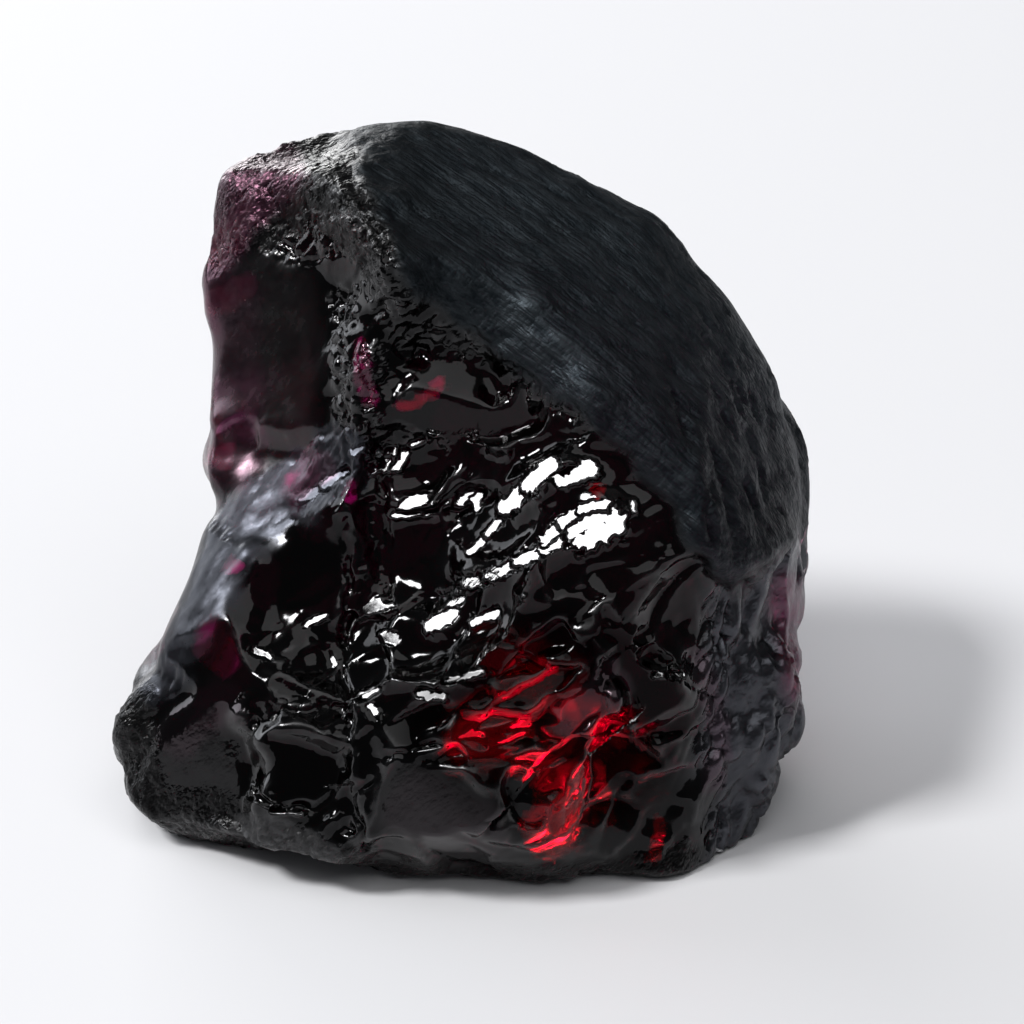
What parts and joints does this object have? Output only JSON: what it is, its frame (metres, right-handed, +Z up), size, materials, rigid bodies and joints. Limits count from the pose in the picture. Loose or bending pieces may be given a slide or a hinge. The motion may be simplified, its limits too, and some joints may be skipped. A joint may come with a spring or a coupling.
{
  "type": "rough painite crystal",
  "caption": "Rough, broken and water-worn lump of dark red transparent crystal with a smooth rounded crown and a stepped, chipped front.",
  "frame": {"origin": "under the middle of the object's box, on the plane that it rests on", "axes": "+Z up from the flat seat, +X towards the knobbly right flank, along the longest extent, and the broken front faces -Y"},
  "size_m": [0.0302, 0.0234, 0.0267],
  "materials": {
    "painite": "glossy broken faces, satin worn crown"
  },
  "bodies": {
    "root": {"rough_painite": "painite"}
  },
  "joints": []
}
